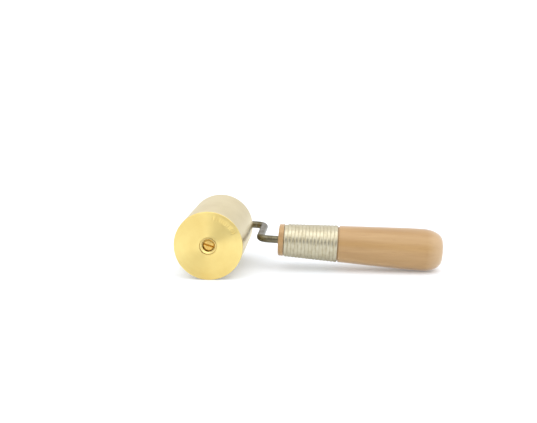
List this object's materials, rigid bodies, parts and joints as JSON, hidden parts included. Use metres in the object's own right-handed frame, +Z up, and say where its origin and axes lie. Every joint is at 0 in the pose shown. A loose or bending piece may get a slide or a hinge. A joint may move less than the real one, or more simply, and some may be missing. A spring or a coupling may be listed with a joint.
{
  "type": "hand roller",
  "caption": "Hand pressure roller: a solid brass cylinder turning on a cranked steel rod, with a tapered wooden handle bound with wire.",
  "frame": {"origin": "on the surface that the tool lies on, under the middle of its bounding box", "axes": "+X from the roller to the butt of the handle, +Y along the roller's axis from its front end to the crank at its rear end, +Z up as the tool lies on its roller and its butt"},
  "size_m": [0.156, 0.0715, 0.04],
  "materials": {
    "roller_brass": "turned and fine-polished",
    "bush_brass": "turned",
    "screw_brass": "turned and lightly worn",
    "rod_steel": "drawn and oiled",
    "washer_steel": "plain",
    "handle_beech": "turned, sanded and waxed",
    "tinned_wire": "tinned, soft bright"
  },
  "bodies": {
    "grip": {"crank_rod": "rod_steel", "handle": "handle_beech", "wire_binding": "tinned_wire", "retaining_screw": "screw_brass", "retaining_washer": "bush_brass", "thrust_washer": "washer_steel", "stop_collar": "washer_steel"},
    "roller_drum": {"roller": "roller_brass", "front_bush": "bush_brass", "rear_bush": "bush_brass"}
  },
  "joints": [
    {"name": "roller_spin", "type": "hinge", "parent": "grip", "child": "roller_drum", "pos_m": [-0.05797, -0.00575, 0.02], "axis": [0, 1, 0], "continuous": true}
  ]
}
